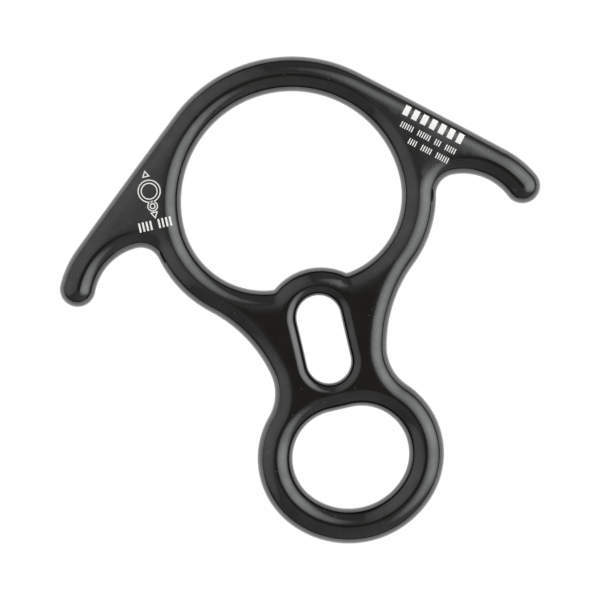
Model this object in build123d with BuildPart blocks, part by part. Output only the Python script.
"""Rescue figure-eight descender: one hot-forged aluminium body.

Lying flat, +Z up, the belay ring towards +Y, the carabiner eye towards -Y,
the middle of the body's underside at the origin. Millimetres.

The body is the shape left inside three closed edges: the outline, drawn as
a chain of arcs that touch each other, less a belay opening, a rope slot and
a carabiner eye. Every edge is then rounded over, until the bars are round.
"""

from build123d import *
from math import atan2, cos, degrees, hypot, radians, sin, sqrt
import os

# Overall size
LENGTH = 175.5
SPAN = 174.9  # across both ear tips
THICKNESS = 12.0
BAR = 12.5  # width of the bar round the belay opening and the eye

# Belay opening: a crown, two tighter flanks and the boss that rises below
CROWN_RADIUS = 39.25
FLANK_RADIUS = 29.15
FLANK_BAR = 12.3
BOSS_RADIUS = 20.95
BOSS_TOP = 11.65
NOTCH_RADIUS = 1.65  # where a flank runs into the boss

# Ears: a straight back, a shoulder, a round tip and the hook under it
BACK_ANGLE = 40.75  # slope of the back, below the horizontal
SHOULDER_RADIUS = 36.05
TIP_RADIUS = 6.35
TIP_HEIGHT = 23.0
HOOK_RADIUS = 19.95
HOOK_TOP = 32.45
CROTCH_RADIUS = 7.15

# Neck, between the ears and the eye
NECK_RADIUS = 48.65
WAIST_RADIUS = 16.25
WAIST_HALF_WIDTH = 20.85

# Rope slot through the neck
SLOT_WIDTH = 15.7
SLOT_LENGTH = 31.6
SLOT_HEIGHT = -14.1

# Carabiner eye: flat on top, two flanks and a wider bottom
EYE_FLAT_HALF = 3.9
EYE_FLANK_RADIUS = 16.85
EYE_HEIGHT = -56.6

# Rounding over of the edges
BAR_ROUND = 5.8
EYE_ROUND = 5.7
SLOT_ROUND = 3.8

# Places that follow from these
RING_HEIGHT = LENGTH / 2 - CROWN_RADIUS - BAR
EYE_BOTTOM = BAR - LENGTH / 2


def offset_circle(circle, distance):
    """The same circle made larger by a distance."""
    centre, radius = circle
    return centre, radius + distance


def crossing(circle_a, circle_b, side):
    """Where two circles cross; side 1 is left of the way from a to b, -1 is right."""
    (ax, ay), radius_a = circle_a
    (bx, by), radius_b = circle_b
    apart = hypot(bx - ax, by - ay)
    along = (apart**2 + radius_a**2 - radius_b**2) / (2 * apart)
    across = side * sqrt(radius_a**2 - along**2)
    ux, uy = (bx - ax) / apart, (by - ay) / apart
    return ax + along * ux - across * uy, ay + along * uy + across * ux


def touch(circle_a, circle_b):
    """The point that two touching circles share."""
    (ax, ay), radius_a = circle_a
    (bx, by), radius_b = circle_b
    apart = hypot(bx - ax, by - ay)
    inside_b = apart < radius_b and radius_a < radius_b
    reach = -radius_a if inside_b else radius_a
    return ax + (bx - ax) * reach / apart, ay + (by - ay) * reach / apart


def arc(circle, start, end, turn):
    """Draw a circle's arc between two of its points; turn 1 is anticlockwise, -1 clockwise."""
    (cx, cy), radius = circle
    first = degrees(atan2(start[1] - cy, start[0] - cx))
    last = degrees(atan2(end[1] - cy, end[0] - cx))
    size = turn * ((turn * (last - first)) % 360)
    CenterArc((cx, cy), radius, first, size)


def arc_chain(start, circles, end):
    """Draw arcs of circles that touch one after another; each circle comes with its turn."""
    here = start
    for (circle, turn), (following, _) in zip(circles, circles[1:]):
        there = touch(circle, following)
        arc(circle, here, there, turn)
        here = there
    last_circle, last_turn = circles[-1]
    arc(last_circle, here, end, last_turn)


# Circles of the belay opening
crown = ((0, RING_HEIGHT), CROWN_RADIUS)
flank = ((CROWN_RADIUS - FLANK_RADIUS, RING_HEIGHT), FLANK_RADIUS)
boss = ((0, BOSS_TOP - BOSS_RADIUS), BOSS_RADIUS)
notch_centre = crossing(
    offset_circle(flank, -NOTCH_RADIUS), offset_circle(boss, NOTCH_RADIUS), 1
)
notch = (notch_centre, NOTCH_RADIUS)

# Circles of the eye; the bottom one touches the flanks from outside
eye_flank = ((EYE_FLAT_HALF, EYE_HEIGHT), EYE_FLANK_RADIUS)
eye_drop = EYE_HEIGHT - EYE_BOTTOM
eye_bottom_radius = (EYE_FLAT_HALF**2 + eye_drop**2 - EYE_FLANK_RADIUS**2) / (
    2 * (eye_drop - EYE_FLANK_RADIUS)
)
eye_bottom = ((0, EYE_BOTTOM + eye_bottom_radius), eye_bottom_radius)

# Circles of the outline, from the crown round one side to the bottom
back_x, back_y = sin(radians(BACK_ANGLE)), cos(radians(BACK_ANGLE))
outer_crown = offset_circle(crown, BAR)
back_top = (back_x * outer_crown[1], RING_HEIGHT + back_y * outer_crown[1])
tip = ((SPAN / 2 - TIP_RADIUS, TIP_HEIGHT), TIP_RADIUS)

# The shoulder's centre is level below the back, and the tip circle touches it from inside
level = outer_crown[1] - SHOULDER_RADIUS
from_tip_x = back_x * level - tip[0][0]
from_tip_y = RING_HEIGHT + back_y * level - tip[0][1]
down_back = from_tip_x * back_y - from_tip_y * back_x
to_tip = (SHOULDER_RADIUS - TIP_RADIUS) ** 2 - from_tip_x**2 - from_tip_y**2
back_run = -down_back - sqrt(down_back**2 + to_tip)
shoulder_centre = (
    back_x * level + back_y * back_run,
    RING_HEIGHT + back_y * level - back_x * back_run,
)
shoulder = (shoulder_centre, SHOULDER_RADIUS)
back_end = (
    shoulder_centre[0] + back_x * SHOULDER_RADIUS,
    shoulder_centre[1] + back_y * SHOULDER_RADIUS,
)

hook_y = HOOK_TOP - HOOK_RADIUS
hook_reach = sqrt((HOOK_RADIUS + TIP_RADIUS) ** 2 - (hook_y - TIP_HEIGHT) ** 2)
hook = ((tip[0][0] - hook_reach, hook_y), HOOK_RADIUS)
outer_flank = offset_circle(flank, FLANK_BAR)
crotch_centre = crossing(
    offset_circle(hook, -CROTCH_RADIUS), offset_circle(outer_flank, CROTCH_RADIUS), -1
)
crotch = (crotch_centre, CROTCH_RADIUS)

outer_eye_flank = offset_circle(eye_flank, BAR)
waist_x = WAIST_HALF_WIDTH + WAIST_RADIUS
waist_rise = sqrt(
    (outer_eye_flank[1] + WAIST_RADIUS) ** 2 - (waist_x - EYE_FLAT_HALF) ** 2
)
waist = ((waist_x, EYE_HEIGHT + waist_rise), WAIST_RADIUS)
neck_centre = crossing(
    offset_circle(outer_flank, NECK_RADIUS),
    (waist[0], NECK_RADIUS - WAIST_RADIUS),
    1,
)
neck = (neck_centre, NECK_RADIUS)
outer_eye_bottom = offset_circle(eye_bottom, BAR)

with BuildPart() as descender_body:
    with BuildSketch():
        with BuildLine():
            arc(outer_crown, (0, LENGTH / 2), back_top, -1)
            Line(back_top, back_end)
            arc_chain(
                back_end,
                [
                    (shoulder, -1),
                    (tip, -1),
                    (hook, 1),
                    (crotch, 1),
                    (outer_flank, -1),
                    (neck, 1),
                    (waist, 1),
                    (outer_eye_flank, -1),
                    (outer_eye_bottom, -1),
                ],
                (0, -LENGTH / 2),
            )
            mirror(about=Plane.YZ)
        make_face()
    extrude(amount=THICKNESS)
    outline_edges = descender_body.edges().filter_by(Axis.Z, reverse=True)
    fillet(outline_edges, BAR_ROUND)

    with BuildSketch(mode=Mode.PRIVATE) as belay_opening:
        with BuildLine():
            arc_chain(
                (0, RING_HEIGHT + CROWN_RADIUS),
                [(crown, -1), (flank, -1), (notch, -1), (boss, 1)],
                (0, BOSS_TOP),
            )
            mirror(about=Plane.YZ)
        make_face()
    with BuildSketch(mode=Mode.PRIVATE) as eye_opening:
        with BuildLine():
            eye_top = EYE_HEIGHT + EYE_FLANK_RADIUS
            Line((0, eye_top), (EYE_FLAT_HALF, eye_top))
            arc_chain(
                (EYE_FLAT_HALF, eye_top),
                [(eye_flank, -1), (eye_bottom, -1)],
                (0, EYE_BOTTOM),
            )
            mirror(about=Plane.YZ)
        make_face()
    with BuildSketch(mode=Mode.PRIVATE) as slot_opening:
        with Locations((0, SLOT_HEIGHT)):
            SlotOverall(SLOT_LENGTH, SLOT_WIDTH, rotation=90)

    for opening, rounding in (
        (belay_opening, BAR_ROUND),
        (eye_opening, EYE_ROUND),
        (slot_opening, SLOT_ROUND),
    ):
        extrude(opening.sketch, amount=THICKNESS, mode=Mode.SUBTRACT)
        rims = descender_body.edges(Select.LAST).filter_by(Axis.Z, reverse=True)
        fillet(rims, rounding)

descender_body.part.label = "descender_body"

os.makedirs("parts", exist_ok=True)
export_step(descender_body.part, "parts/descender_body.step")
